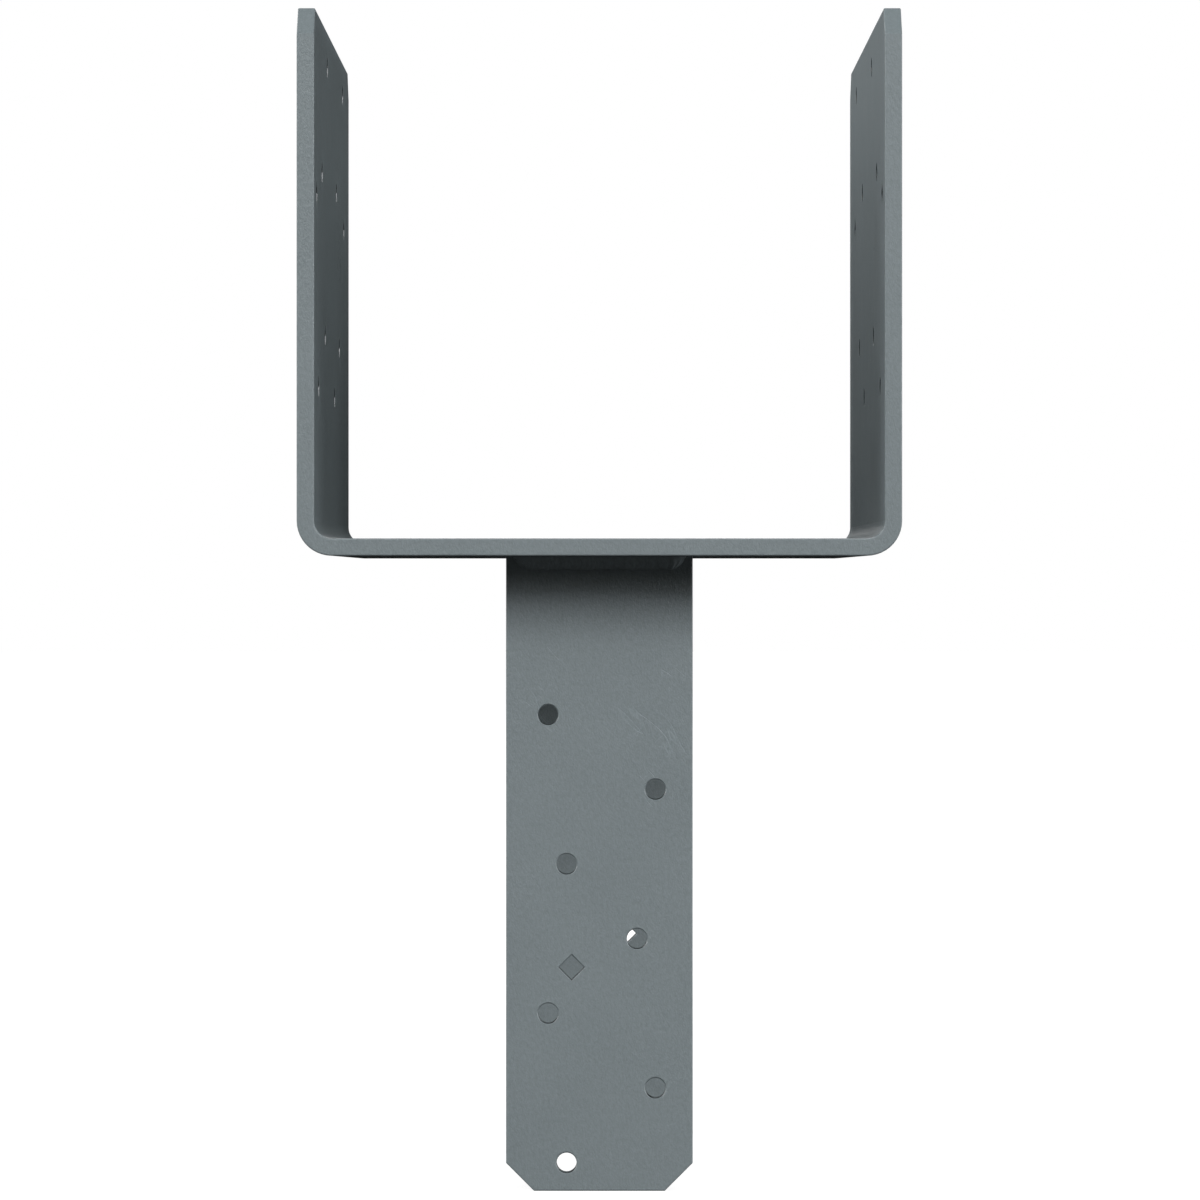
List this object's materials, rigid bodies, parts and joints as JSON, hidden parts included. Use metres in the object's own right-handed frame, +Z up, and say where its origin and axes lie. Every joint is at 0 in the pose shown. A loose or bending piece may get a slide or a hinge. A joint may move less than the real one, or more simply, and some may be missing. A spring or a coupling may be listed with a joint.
{
  "type": "column cap",
  "caption": "Steel column cap: a folded U saddle that holds a timber beam, with two pierced straps below the seat that clasp a timber post.",
  "frame": {"origin": "centre of the seat's underside, where the top of the post bears", "axes": "+X across the beam, +Y along the beam towards the cap's rear, +Z up from the post to the beam"},
  "size_m": [0.2022, 0.2794, 0.3995],
  "materials": {
    "grey_paint": "satin grey primer paint on steel plate"
  },
  "bodies": {
    "root": {"saddle": "grey_paint", "front_strap": "grey_paint", "rear_strap": "grey_paint", "front_weld": "grey_paint", "rear_weld": "grey_paint"}
  },
  "joints": []
}
